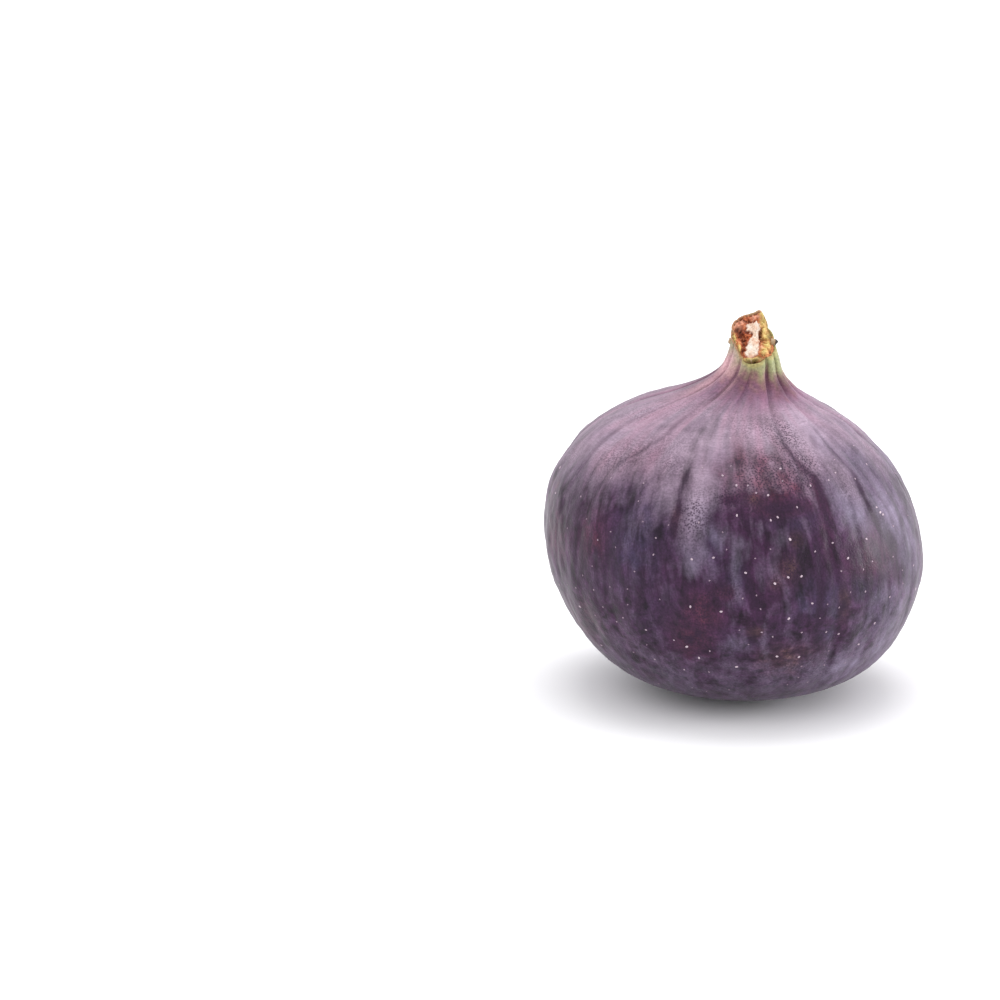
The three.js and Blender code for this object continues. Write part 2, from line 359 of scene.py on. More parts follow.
# Where the bloom is rubbed off and the skin shows wine red or brown, and where the skin is slate blue: bearing
# in degrees, height, half the width, half the height, strength. The other patches are laid out in the same way.
WINE_PATCHES = (
    (13, 40.5, 6.5, 3.6, 1), (-13, 20.5, 2.2, 2.4, 1), (-17, 16, 3, 3, 0.8), (-44, 42, 5, 2.2, 0.5),
    (30, 38, 0.8, 3.5, 0.4), (28, 31, 0.8, 3, 0.5), (43, 27.2, 4.4, 2.2, 0.7), (15, 36, 4.5, 1, 0.7),
    (-6, 24, 2, 1.2, 0.5),
)
BROWN_PATCHES = (
    (25, 45.5, 2.4, 1.8, 0.7), (13.5, 27.4, 1.7, 1.8, 0.9), (17.8, 31.5, 1.1, 1, 0.9), (9.3, 25.2, 1, 1, 0.7),
    (2.3, 17.6, 1.1, 0.9, 1), (12, 12.5, 4, 2.5, 0.7), (6, 45, 1.6, 1.6, 0.5), (30.5, 21, 0.9, 2.6, 0.8),
    (-19.5, 35, 0.9, 2.5, 0.45), (-18, 40.2, 0.9, 1, 0.7), (6, 37.3, 1.4, 0.9, 0.6),
)
SLATE_PATCHES = (
    (19, 22, 3, 3.6, 1), (27, 22, 2, 3.5, 1), (36, 23, 2.5, 2.5, 0.8), (25, 16.5, 2.5, 2, 1), (18, 34, 5, 1.6, 0.6),
    (-3, 16, 4, 3, 0.6), (-7.5, 31.3, 1.5, 2.8, 1), (-2, 27, 1.6, 5, 0.6), (-33, 30, 5, 8, 0.9),
    (53.5, 29.5, 1.7, 2.2, 1), (40, 35, 3, 3, 0.7), (46, 19, 5, 5, 0.7), (61, 26, 4, 8, 0.5),
)
# Where the bloom is thick, and where it is thin. Some pale patches are painted highlights and painted light from the
# right, on the right flank and right of the first vein; some dark ones are painted shadow and shade, on the lower
# left and beside the groove on the right flank.
PALE_AND_HIGHLIT_PATCHES = (
    (-13.2, 35.5, 1.9, 2.6, 0.2), (39, 45.2, 4.6, 3.4, 0.7), (41, 34.5, 3, 4, 0.42), (59, 32, 3.5, 4.8, 0.6),
    (66, 29, 4, 6.5, 0.6), (68, 22, 4, 9, 0.2), (-23, 37.5, 2.6, 3, 0.36), (-22, 43, 4, 3, 0.42),
    (-60, 44, 9, 4.5, 0.46), (-6, 45, 5, 2.6, 0.3), (51, 11, 8, 5, 0.27), (18, 44.5, 5, 2.2, 0.48),
    (46, 19.5, 4.5, 3, 0.2), (33, 20, 2.2, 3, 0.1), (38, 13, 2, 2, 0.06), (13, 39.6, 4.6, 1.9, 0.34),
    (26, 39.8, 3, 1.6, 0.06), (45, 20.5, 3.5, 2.4, 0.26), (-3, 16.5, 2.5, 2, 0.2), (0, 31, 1.2, 2.2, 0.38),
    (-10, 29.5, 1.4, 3, 0.18), (10, 28.2, 1.5, 2.4, 0.13), (-10, 25.8, 1.4, 1.4, 0.14), (0, 19.8, 1.4, 1.2, 0.1),
    (60, 12.5, 4, 3, 0.26), (-9, 33, 1.2, 1.4, 0.12), (-38, 44.5, 6, 2.4, 0.1), (12.5, 32.2, 1.9, 1.3, 0.2),
    (-7.5, 31.5, 1.3, 2, 0.16), (-9, 28.3, 1.6, 2, 0.08), (-14.6, 27.6, 2.3, 1.6, 0.14), (8, 10.5, 8, 2.6, 0.12),
    (37, 9.2, 6, 2.8, 0.42), (54, 17, 4.5, 5, 0.32), (59, 39, 3, 1.6, 0.14), (26, 28.5, 1.2, 2, 0.08),
)
# Partly painted shadow on the lower left, and painted shade beside the groove on the right flank.
DARK_AND_SHADOWED_PATCHES = (
    (15, 36.1, 3.6, 0.9, 0.52), (8.5, 36.9, 1.6, 0.7, 0.25), (0, 36.9, 2.6, 1.4, 0.22), (-8, 10, 4, 2.5, 0.1),
    (0, 42.2, 2, 1.2, 0.1), (-30, 38, 4, 1.5, 0.12), (36.5, 27.8, 2.2, 2.2, 0.4), (45, 28, 2.4, 2.2, 0.36),
    (54, 29, 1.5, 2.2, 0.34), (49.5, 24, 1.2, 2, 0.2), (57, 24, 3, 1.6, 0.14), (3, 22.5, 0.9, 1.2, 0.2),
    (-5.5, 23.8, 1.4, 0.8, 0.15), (17, 19.4, 0.9, 0.5, 0.3), (8, 31.5, 1, 1.8, 0.06), (-13, 20.5, 3, 2.5, 0.12),
    (-17, 16.5, 3.5, 3.5, 0.28), (18, 47.5, 3, 1.3, 0.16), (2.3, 17.6, 1.1, 0.9, 0.24), (13.5, 27.4, 1.5, 1.5, 0.12),
    (27, 22.5, 1.4, 2.2, 0.14), (65, 39, 3, 0.8, 0.1), (48, 9.5, 2.2, 1.2, 0.14), (22, 33.5, 2.5, 1.2, 0.08),
)
# Strokes where the bloom was brushed on or off, laid out as the veins are. The first pale one, the long streak on the
# front left, is partly a painted highlight.
PALE_AND_HIGHLIGHT_STROKES = (
    (0.44, 1.9, ((27.4, -15.2), (28, -15), (31, -14.6), (34, -13.8), (37, -12.4), (41, -11.5))),
    (0.2, 0.9, ((38.5, -10.6), (41, -9.6), (44.5, -8.3))),
    (0.24, 0.7, ((22.6, -1.8), (26, -2.2), (30, -2.3), (33, -2.9))),
    (0.26, 0.36, ((30.8, -5.9), (32, -5), (33.9, -3.6), (34.6, -3.5))),
    (0.24, 0.36, ((28.6, 1.4), (30.5, 1.9), (32, 2.4), (33.5, 3.2), (36, 4), (41, 4.9))),
    (0.14, 0.4, ((31.8, 6.2), (33.4, 7.4), (34.6, 7.7))),
    (0.12, 0.5, ((19, -3.9), (21, -4.4), (23, -4.8))),
    (0.12, 0.5, ((22, 4.4), (25, 5), (29, 5.4), (31, 5))),
    (0.2, 0.6, ((34.6, 26.6), (36, 27), (38.2, 27))),
    (0.12, 0.6, ((29, 18.6), (31.4, 20), (33, 21), (34.3, 21.4))),
    (0.14, 0.7, ((17.5, 12.4), (22, 11.8), (25, 11.4), (28, 9))),
    (0.06, 0.6, ((19.5, 25.2), (23, 25.8), (27, 26))),
    (0.14, 0.5, ((12, 6), (15, 5), (18.5, 5.2), (20.5, 6.6))),
    (0.24, 0.5, ((24.5, 50.9), (27, 51.5), (29.5, 51.2), (32, 52.2))),
    (0.12, 0.5, ((10, 21), (14, 19), (17, 17.5))),
)
DARK_STROKES = (
    (0.55, 0.65, ((18.5, 21.6), (23, 22.3), (27.5, 23.1), (31, 23.4))),
    (0.26, 0.65, ((15.5, 0.4), (19, 1.8), (22.5, 2.9), (25, 1.2), (28, 1))),
    (0.24, 0.7, ((32, -20.5), (36, -18.6), (38, -19), (41, -17.3))),
    (0.18, 0.5, ((34.4, -6.2), (36, -5.6), (38.4, -4.4))),
    (0.16, 0.5, ((23, -7), (27, -6.5), (30, -8.5), (32, -9.3))),
    (0.2, 0.45, ((27, 27.2), (31, 27.6), (34, 29), (37, 30.6), (39.6, 31.4))),
    (0.2, 0.8, ((18.4, 30.8), (22, 30.4), (25.6, 30))),
    (0.1, 0.6, ((13, 9.6), (18, 9), (21, 9.4), (24, 8.4))),
    (0.14, 0.6, ((10, 30), (13, 29.6), (15.4, 30.4))),
    (0.32, 0.7, ((25.5, 49.3), (28, 49.8), (31, 49), (34, 47.7), (36, 48.4), (39, 50))),
    (0.14, 0.6, ((25, 66), (29, 66.8), (32, 65.6))),
)
# Where dark pores crowd.
STIPPLED = (
    (-13.2, 35, 2.2, 2.6, 1), (-2, 37.2, 3, 1.8, 0.9), (13.6, 27.6, 1.7, 1.6, 1), (9, 25.2, 1, 1.2, 0.9),
    (6.6, 27.5, 0.6, 3, 0.6), (-8.5, 23.6, 2, 1, 0.8), (14, 40, 5, 3, 0.7), (28.5, 40.5, 3, 2.4, 1),
    (27, 44.5, 2.6, 1.8, 0.9), (-15, 16.5, 3, 3, 0.8), (-13, 20.5, 2.4, 2.6, 0.9), (5, 20.5, 1.3, 1.6, 0.5),
    (37, 37, 3, 2, 0.3), (-24, 41, 2.4, 1, 0.5),
)
# Flutes of the neck that are blushed, the pale ones on the left partly a painted highlight, or dusky, partly painted
# shade.
HIGHLIT_BLUSH_PATCHES = (
    (-70, 53, 2.2, 2.4, 1), (-42, 52.6, 1.5, 1.8, 0.55), (-71, 50, 1.6, 1.8, 0.5), (-30, 50.3, 0.8, 1.2, 0.45),
    (108, 52.5, 2, 2, 0.6), (214, 53, 2, 2, 0.6),
)
# Partly painted shade on the neck's flutes.
SHADED_DUSK_PATCHES = (
    (-16, 50.6, 1.5, 1.6, 0.7), (12, 50.2, 2.4, 1.4, 0.28), (53, 49.9, 2.2, 1.5, 1), (32, 50.8, 0.8, 2, 0.5),
    (150, 50.5, 2, 2, 0.6), (255, 50.5, 2, 2, 0.6),
)
# The height where the bloom begins, at each bearing in degrees.
BLOOM_FOOT = (
    (-180, 37), (-120, 36), (-75, 38), (-50, 40), (-30, 40), (-20, 38), (-12, 38), (-5, 40.5), (2, 43), (8, 43.2),
    (20, 43.2), (27, 43), (33, 40), (40, 37.5), (48, 38), (60, 40), (75, 40), (100, 38), (140, 38), (180, 37),
)


def wrapped(bearing):
    """An angle as one from minus half a turn to half a turn."""
    return (bearing + pi) % (2 * pi) - pi


def crease_lines(bearing, height, radius):
    """How near each place is to the crease at the bottom of a groove between two flutes, 0 to 1. A crease wanders
    from its groove's bearing by a sum of sines, and fades in and out along its length."""
    draw = np.random.default_rng(11)
    off = wrapped(bearing[..., None] - groove_bearings(height)) * radius[..., None]
    rise = height[..., None]
    on_body = 1 - step(*BODY_ENDS, rise)
    phases = draw.uniform(0, 2 * pi, (4, len(GROOVES)))
    wander = 0.5 * np.sin(rise / 2.6 + phases[0]) + 0.2 * np.sin(rise / 1.1 + phases[1])
    fading = 0.5 + 0.2 * np.sin(rise / 1.9 + phases[2]) * np.sin(rise / 0.8 + phases[3])
    strength = GROOVES[:, 2] * (1 + (fading * step(6, 20, rise) - 1) * on_body)
    strength *= 1 - 0.8 * on_body * (np.abs(GROOVES[:, 1]) < 60)
    width = 0.16 + 0.024 * radius[..., None]
    return (strength * bump(off - wander * on_body, width)).max(axis=-1) * step(*CREASES_BEGIN, height)


def strokes(bearing, height, radius, places):
    """The strongest of several strokes at each place: a bell curve across a line, which comes in at the line's
    lowest height and dies away at its highest."""
    total = np.zeros(height.shape)
    for strength, half_width, line in places:
        rises, bearings = np.transpose(line)
        comes = step(rises[0] - STROKE_COMES, rises[0] + STROKE_COMES, height)
        goes = 1 - step(rises[-1] - STROKE_GOES, rises[-1] + STROKE_GOES, height)
        across = wrapped(bearing - np.radians(np.interp(height, rises, bearings))) * radius
        total = np.maximum(total, strength * (comes * goes) * bump(across, half_width))
    return total


def patches(bearing, height, radius, places, noise):
    """The strongest of several soft patches at each place: a bell curve both ways, with edges made ragged."""
    total = np.zeros(height.shape)
    for degrees_round, middle, half_width, half_height, strength in places:
        aside = wrapped(bearing - radians(degrees_round)) * radius / half_width
        rise = (height - middle) / half_height
        total = np.maximum(total, strength * np.exp(-(aside**2) - rise**2 + 0.3 * noise))
    return total


def hidden_patches(seed, count):
    """Patches like the listed ones, round the sides and back."""
    draw = np.random.default_rng(seed)
    return tuple(
        (draw.uniform(75, 310), draw.uniform(10, 44), *draw.uniform(2.5, 5, 2), draw.uniform(0.3, 0.6))
        for _ in range(count)
    )


def skin_rings():
    """Rings of points from the middle of the eye out and up the side to the cut, as a grid, with the bearing and
    the height of the rings past the foot. The eye's dimple rises to its middle along an S-shaped curve."""
    bearing = np.linspace(0, 2 * pi, SKIN_COLUMNS, endpoint=False)
    out = np.linspace(0, 1, DIMPLE_ROWS + 1)[1:, None]
    rings = np.vstack((EYE_RADIUS * out, (FOOT_RADIUS,)))
    rises = np.vstack((EYE_DEPTH * (1 - smooth(out)), (0,)))
    base = np.broadcast_arrays(float(lean(0)) + rings * np.sin(bearing), -rings * np.cos(bearing), rises)

    line = PROFILE_LINE[PROFILE_LINE[:, 1] <= NECK_FOOT]
    heights = np.interp(np.linspace(0, length_along(line)[-1], BODY_ROWS + 1)[1:], length_along(line), line[:, 1])
    heights = np.broadcast_to(heights[:, None], (BODY_ROWS, SKIN_COLUMNS))
    up = np.linspace(0, 1, NECK_ROWS + 1)[1:, None]
    heights = np.vstack((heights, NECK_FOOT + (cut_edge(bearing) - NECK_FOOT) * up))
    bearings = np.broadcast_to(bearing, heights.shape)
    sides = around(bearings, heights, fruit_radius(bearings, heights))
    return np.concatenate((np.stack(base, axis=-1), sides)), bearings, heights


def cut_frame(edge):
    """The middle of the cut, and its unit directions across, up the slope and outward."""
    outward = np.array((-CUT_TO_RIGHT, -CUT_TO_BACK, 1))
    outward /= np.linalg.norm(outward)
    up = np.array((0, 1, CUT_TO_BACK))
    up /= np.linalg.norm(up)
    return edge.mean(axis=0), np.cross(up, outward), up, outward


@lru_cache(maxsize=1)
def skin_grid():
    """The finished skin's points as a grid, with the bearing, height, radius and creases at each. Each point is
    the fruit's form moved along its normal: in along the creases and the wrinkles round the eye, and in and out by
    slack lumps and long folds. The rings go on over the lip of the cut and close under it."""
    base, bearings, heights = skin_rings()
    below = DIMPLE_ROWS + 1
    bearing = np.broadcast_to(bearings[0], base.shape[:2])
    height = np.vstack((np.zeros((below, SKIN_COLUMNS)), heights))
    middle_line = np.stack((lean(height), 0 * height), axis=-1)
    radius = np.linalg.norm(base[..., :2] - middle_line, axis=-1)

    creases, veins = crease_lines(bearing, height, radius), strokes(bearing, height, radius, VEINS)
    lumps = 0.5 * ripple(base, 8, seed=1) + 0.35 * ripple(lengthways(bearing, height, 5), 3.4, seed=2)
    lumps += 0.2 * ripple(base, 2.4, seed=6)
    free = step(*LUMPS_BEGIN, height) * (1 - step(*LUMPS_END, height))
    grain = ripple(base, 1.3, seed=3) * step(1, 5, height)
    eye_reach = bump(radius - WRINKLES_AT, WRINKLES_REACH) * (height < 8)
    wrinkles = valley(bearing * WRINKLE_COUNT / (2 * pi) + 0.3 * ripple(base, 6, seed=4)) * eye_reach
    relief = LUMP_DEPTH * lumps * free - CREASE_DEPTH * np.maximum(creases, 0.4 * veins)
    relief += GRAIN_DEPTH * grain - WRINKLE_DEPTH * wrinkles
    grid = base + normals_of(base) * relief[..., None]
    grid[..., 2] = np.maximum(grid[..., 2], 0)

    edge = grid[-1]
    middle, _, _, outward = cut_frame(edge)
    ragged = 1 + 0.5 * ripple(edge, 0.8, seed=5)[:, None]
    lip = [
        middle + share * (edge - middle) + outward * rise * (ragged if rise > 0 else 1) for share, rise in LIP_ROWS
    ]
    over_lip = [
        np.vstack((values, np.broadcast_to(values[-1], (len(lip), SKIN_COLUMNS))))
        for values in (bearing, height, radius, np.maximum(creases, veins))
    ]
    return np.concatenate((grid, lip)), *over_lip


def lengthways(bearing, height, stretch):
    """Places to read a noise at so that it runs up the fruit and draws together at the neck: round a cylinder at
    each bearing, and up it by the length of the profile from the foot, divided by how much longer than wide."""
    up = np.interp(height, PROFILE_LINE[:, 1], length_along(PROFILE_LINE)) / stretch
    return np.stack((STREAK_RADIUS * np.sin(bearing), -STREAK_RADIUS * np.cos(bearing), up), axis=-1)


def skin_surface():
    """The closed skin as (points, quads, triangles) with its attributes. Toward the foot the lengthways noise is
    read faster, by the square of how far below a height a place is over a little more than that."""
    grid, bearing, height, radius, creases = skin_grid()
    masks = skin_masks(grid, bearing, height, radius, creases)
    attributes = {key: pole_ends(values) for key, values in masks.items()}
    upright = lengthways(bearing, height, 1)
    below = np.maximum(0, MOTTLED_BELOW - height)
    upright[..., 2] -= MOTTLING * below**2 / (below + MOTTLING_EASE)
    attributes["lengthways"] = np.stack([pole_ends(values) for values in np.moveaxis(upright, -1, 0)], axis=-1)
    return closed_grid(grid), attributes


def skin_masks(grid, bearing, height, radius, creases):
    """What each place of the skin is covered with, each from 0 to 1, and the bloom from a little below 0. The bloom
    also holds painted highlights and painted floor light; the dark and dusky masks hold painted shade.
    """
    broad = ripple(lengthways(bearing, height, 5), 6, seed=21)
    streaks = ripple(lengthways(bearing, height, 6), 1.9, seed=26)
    clouds = ripple(grid, 9, seed=22)
    mottle = ripple(grid, 2.4, seed=23)
    ragged = mottle + 0.5 * streaks
    covered = partial(patches, bearing, height, radius)
    brushed = partial(strokes, bearing + STROKE_WAVER * streaks, height, radius)
    wine = covered(WINE_PATCHES + hidden_patches(31, 8), ragged)
    brown = covered(BROWN_PATCHES + hidden_patches(32, 6), ragged)
    slate = covered(SLATE_PATCHES + hidden_patches(33, 12), ragged)
    foot = np.interp(np.degrees(wrapped(bearing)), *np.transpose(BLOOM_FOOT)) + 0.8 * mottle + 0.5 * streaks
    thick = BLOOM_THICKNESS + 0.1 * broad + 0.08 * clouds + 0.05 * streaks
    bloom = thick * step(*BLOOM_EDGE, height - foot) * (1 - 0.65 * step(*NECK_BARES, height))
    # Round the base: bloom, and painted light bounced up from the floor that lightens the lower belt.
    bloom += BASE_BLOOM_AND_FLOOR_LIGHT * (1 + 0.6 * broad) * (1 - step(*BASE_ENDS, height))
    # Pale patches and strokes are partly painted highlights and painted light.
    bloom += covered(PALE_AND_HIGHLIT_PATCHES, ragged) + brushed(PALE_AND_HIGHLIGHT_STROKES) * (1 + 0.35 * streaks)
    # Dark patches are partly painted shadow and shade.
    dark = np.maximum(covered(DARK_AND_SHADOWED_PATCHES, ragged), brushed(DARK_STROKES) * (1 + 0.35 * streaks))
    bloom -= dark + 0.25 * wine + 0.2 * brown + 0.25 * creases
    pinker = 0.1 + 0.2 * streaks + 0.2 * broad + 0.5 * bump(height - 49.5, 2.5) - 0.1 * np.sin(bearing)
    pink = np.clip(pinker + 0.6 * wine, 0, 1) * step(*PINK_BEGINS, height)
    greener = 0.12 * np.sin(bearing) + 0.05 * ripple(grid, 1.6, seed=24) - 0.14 * creases
    in_folds = 0.6 * creases * step(*DUSK_BEGINS, height) * (1 - 0.65 * step(*DUSK_ENDS, height))
    masks = {
        "crease": creases * (1 - 0.9 * step(*BODY_ENDS, height)),
        "dark": np.minimum(2.2 * dark, 0.9),
        "pink": pink,
        "wine": wine,
        "brown": brown,
        "slate": slate + 0.15 * clouds,
        "stipple": 0.1 + 0.5 * wine + 0.4 * brown + 0.2 * clouds + covered(STIPPLED, ragged),
        # Pale pink flutes of the neck, partly a painted highlight on the left.
        "highlit_blush": covered(HIGHLIT_BLUSH_PATCHES, 0.3 * mottle),
        # Dusky flutes of the neck, partly painted shade, and its darker creases.
        "shaded_dusk": np.maximum(covered(SHADED_DUSK_PATCHES, 0.3 * mottle), in_folds),
        "bark_side": step(-0.2, 0.4, np.sin(bearing + 0.7)) * np.ones(height.shape),
        "neck": (height - GREEN_FROM) / GREEN_OVER + greener * step(45, 49, height),
        "bark": 1 - step(0.05, 0.5, cut_edge(bearing) + 0.15 * mottle - height),
        "upper": step(*MAUVE_BEGINS, height + 3 * clouds - 4 * step(0.4, 0.8, np.sin(bearing))),
    }
    return {"bloom": np.clip(bloom, -0.3, 1)} | {key: np.clip(values, 0, 1) for key, values in masks.items()}


# ---- the cut across the stalk ----
CUT_COLUMNS = 144
CUT_ROWS = 44
CUT_REACH = 0.97  # how far out to the bark its face goes
CUT_BACK = -1.5
# How far the pith, the ridge, the fresh sap and the rest of the sap's lumps stand out, and the cracks and rim in.
PITH_RISE, RIDGE_RISE, SAP_RISE, LUMP_RISE = 0.25, 0.45, 0.15, 0.2
CRACK_DEPTH, RIM_DEPTH = 0.5, 0.15
# The pith is a strip up the middle of the cut. Its middle and half its width, at places up the slope.
PITH_MIDDLE = ((-3.8, -0.3), (-2.2, -0.1), (-0.5, 0.25), (0.4, 0.45), (1.4, 0.2), (2.4, 0.2))
PITH_HALF_WIDTH = (
    (-4, 0), (-3.5, 0.85), (-2.2, 1), (-0.7, 0.78), (0.2, 0.52), (0.9, 0.75), (1.5, 1.1), (2.4, 1.1), (2.8, 0),
)
# Soft spots on the dried sap round it: place to the right and up the slope, half the width, half the height.
DARK_SPOTS = (
    (-0.4, -4.75, 1.5, 0.15), (-1.75, 0.8, 0.65, 1), (-1.35, -0.7, 0.5, 1.1), (-1.6, -2.6, 0.3, 1),
    (1.32, 0.5, 0.22, 0.9), (-0.4, 3.1, 0.5, 0.3), (-2.4, 1.4, 0.3, 0.6),
)
RIDGE_SPOTS = (
    (1.75, 4, 0.5, 0.9), (1.7, 2.7, 0.5, 1), (1.9, 1.4, 0.5, 1), (2.1, 0.1, 0.55, 1), (2.3, -1.4, 0.6, 0.9),
    (1.8, -2.6, 0.5, 0.7), (-0.4, -4.25, 1.6, 0.3), (-2.8, -0.3, 0.25, 1.2), (-2.25, -2.4, 0.18, 1),
)
GREEN_SPOTS = ((2.85, 0.7, 0.45, 0.9), (2.6, 2.6, 0.3, 1.4), (-0.4, -4.55, 1.8, 0.34), (0.9, -3.9, 0.4, 0.3))
PINK_SPOTS = ((-2.2, 2.2, 0.7, 0.6), (-1.5, 2.9, 0.5, 0.4), (0.6, 3.6, 0.7, 0.3), (1.4, -1.8, 0.35, 0.5))


def spots(across, along, places):
    """How much each place on the cut is covered by any of several soft spots, bell curves in both directions."""
    covers = [bump(across - aside, wide) * bump(along - up, high) for aside, up, wide, high in places]
    return np.max(covers, axis=0)


def cut_surface():
    """The dried face of the cut: rings from its middle out to under the bark's lip, then back behind it. A point
    stands out of the slanting plane by the pith's strip and a ridge, less furrows, with lumps of dried latex."""
    bearing = np.linspace(0, 2 * pi, CUT_COLUMNS, endpoint=False)
    top = cut_edge(bearing)
    edge = around(bearing, top, fruit_radius(bearing, top))
    middle, right, up, outward = cut_frame(edge)
    out = np.linspace(0.015, CUT_REACH, CUT_ROWS)[:, None, None]
    flat = middle + out * (edge - middle)
    coarse, lumps, grit = (ripple(flat, size, seed) for size, seed in ((1.6, 41), (0.75, 42), (0.35, 43)))
    across = (flat - middle) @ right + 0.16 * coarse + 0.12 * lumps
    along = (flat - middle) @ up + 0.2 * coarse + 0.1 * lumps
    half_width = np.interp(along, *np.transpose(PITH_HALF_WIDTH))
    pith = step(-0.12, 0.12, half_width - np.abs(across - eased(PITH_MIDDLE, np.clip(along, -4, 2.3))))
    rim = step(0.85, CUT_REACH, np.broadcast_to(out[..., 0], across.shape))
    dark, ridge, green, pink = (
        spots(across, along, places) * (1 - pith) for places in (DARK_SPOTS, RIDGE_SPOTS, GREEN_SPOTS, PINK_SPOTS)
    )
    relief = PITH_RISE * pith - CRACK_DEPTH * dark + RIDGE_RISE * ridge + SAP_RISE * pink
    relief += (1 - pith) * (LUMP_RISE * lumps + 0.1 * coarse) + (0.06 + 0.04 * pith) * grit - RIM_DEPTH * rim
    face = flat + outward * relief[..., None]
    back = middle + np.linspace(CUT_REACH, 0.1, 6)[:, None, None] * (edge - middle) + outward * CUT_BACK
    green = np.maximum(green, rim * (0.55 + 0.2 * step(1, -2, along)))
    masks = {"pith": pith, "dark": dark, "ridge": ridge, "green": green, "pink": pink}
    behind = np.zeros((len(back), CUT_COLUMNS))
    attributes = {key: pole_ends(np.vstack((values, behind))) for key, values in masks.items()}
    return closed_grid(np.concatenate((face, back))), attributes


# ---- small parts ----
# Rings of scales: count, distance of the root from the eye's middle, length, width, turn, droop.
SCALE_RINGS = ((7, 3.1, 2.2, 1.8, 0.0, 0.0), (5, 1.8, 1.9, 1.5, 0.5, 0.25))
SCALE_THICKNESS = 0.7
SCALE_SINK = 0.12
BRACT_HEIGHT = 56.1
# Bearing in degrees; size outward, across and upward.
BRACTS = ((-95, (0.8, 1.5, 1.0)), (84, (1.2, 1.4, 1.05)), (196, (1.1, 1.9, 1.3)))
BLACK_BRACT = 1
# The lenticels that show most: bearing in degrees, height, and how large and pale.
LENTICELS_SEEN = (
    (-34.6, 38.5, 0.3), (-26.2, 31.3, 0.3), (-14.8, 28.7, 0.8), (-12.2, 41.3, 0.4), (-8.3, 29, 0.7), (-7.2, 21, 0.9),
    (-4.2, 40.4, 0.7), (-1.9, 44.8, 0.6), (0, 35.2, 0.8), (1, 38.9, 0.7), (1.1, 26.8, 0.8), (4.4, 17.4, 0.4),
    (5, 39, 0.4), (7.3, 38, 0.4), (7.6, 16.5, 0.3), (9.2, 25.3, 1), (10.3, 34.3, 0.7), (11.4, 37.8, 0.8),
    (12.4, 19.3, 0.9), (12.9, 26, 0.8), (13, 34.8, 0.7), (14.8, 44.8, 0.5), (15.6, 31.5, 1), (16.2, 16.8, 0.3),
    (17.5, 26, 0.8), (19.2, 40.8, 0.7), (19.8, 21.6, 0.7), (20.2, 35.7, 0.5), (22.9, 29.3, 0.4), (24.8, 16.5, 0.4),
    (28.8, 38.3, 0.7), (29.6, 30.4, 0.5), (29.8, 15.7, 0.6), (30.2, 25.8, 0.2), (33.6, 27.7, 0.8), (36.7, 38.8, 0.5),
    (38.8, 22, 0.4), (39.3, 12.9, 0.8), (41.9, 39.5, 0.6), (42.8, 30, 0.8), (44.2, 16.2, 0.7), (50, 20, 0.5),
    (52.9, 32.8, 1), (52.1, 33.4, 0.7), (54, 32.4, 0.8), (9, 12.8, 1), (16, 12.7, 0.9), (23, 7.3, 0.3), (-4, 11, 1),
    (-13.6, 9.4, 0.3), (-16, 21.2, 0.8), (-16.3, 12.1, 0.9), (-19.7, 14.3, 1), (-22.9, 9.7, 0.5), (-23.8, 15.1, 0.4),
    (-32.5, 16.1, 0.5), (-33.5, 10.8, 0.4),
)
LENTICEL_COUNT = 300
LENTICEL_GAP = 2.1
LENTICEL_HEIGHTS = (5, 47.5)
LENTICEL_SIZE, LENTICEL_GROWTH = 0.13, 0.1  # of a dark one, and how much larger the palest is


def ball(rings, sides):
    """A grid over a sphere of radius 1 about the origin, ring by ring along +X, without its poles' own points."""
    down = np.linspace(0, pi, rings + 2)[1:-1, None]
    turn = np.linspace(0, 2 * pi, sides, endpoint=False)
    out = np.sin(down)
    return np.stack(np.broadcast_arrays(-np.cos(down), out * np.cos(turn), out * np.sin(turn)), axis=-1)


def turned(points, angle, axis):
    """Points turned about the origin by an angle, round X, Y or Z."""
    return points @ np.array(Matrix.Rotation(angle, 3, axis)).T


def scale_surface(length, width, seed):
    """A scale with its root at the origin and its tip along +X: a flattened ball that narrows to its tip as one
    less three quarters of the square of the way along, keeled along its middle and crinkled."""
    unit = ball(14, 20)
    along = 0.5 + unit[..., 0] / 2
    taper = 1.5 * (1 - 0.75 * along**2)
    aside = unit[..., 1] * width / 2 * taper
    rise = unit[..., 2] * SCALE_THICKNESS / 2 * (1 - 0.3 * np.abs(unit[..., 1]))
    points = np.stack((along * length, aside, rise), axis=-1)
    points[..., 2] += 0.05 * ripple(points, 0.9, seed)
    return points, along


def eye_scale_surfaces():
    """The rings of scales that close the eye, tips together, with how far along its scale each point is."""
    parts = []
    for ring, (count, out_at, length, width, turn, droop) in enumerate(SCALE_RINGS):
        roof = EYE_DEPTH * (1 - float(smooth(out_at / EYE_RADIUS)))
        for k in range(count):
            points, along = scale_surface(length, width, seed=100 + 10 * ring + k)
            points = turned(turned(points, droop, "Y"), pi, "Z") + (out_at, 0, roof + SCALE_SINK)
            points = turned(points, (k + turn) / count * 2 * pi, "Z") + (float(lean(0)), 0, 0)
            parts.append((points, 0.15 + 0.85 * step(0.3, 0.85, along)))
    return joined("tip", parts)


def bract_surfaces():
    """Low knobs round the stalk just below the cut, lumpy balls half sunk in it; one of them has a black tip."""
    parts = []
    for k, (bearing, size) in enumerate(BRACTS):
        turn, height = np.array(radians(bearing)), np.array(BRACT_HEIGHT)
        unit = turned(ball(16, 24), pi, "Z")
        lumpy = unit * (1 + 0.16 * ripple(unit, 1.1, seed=60 + k)[..., None])
        points = turned(lumpy * np.array(size) / 2, float(turn) - pi / 2, "Z")
        points += around(turn, height, fruit_radius(turn, height))
        black = step(0.3, 0.5, unit[..., 0]) if k == BLACK_BRACT else 0.25 * step(0.7, 0.95, unit[..., 0])
        parts.append((points, black))
    return joined("tip", parts)


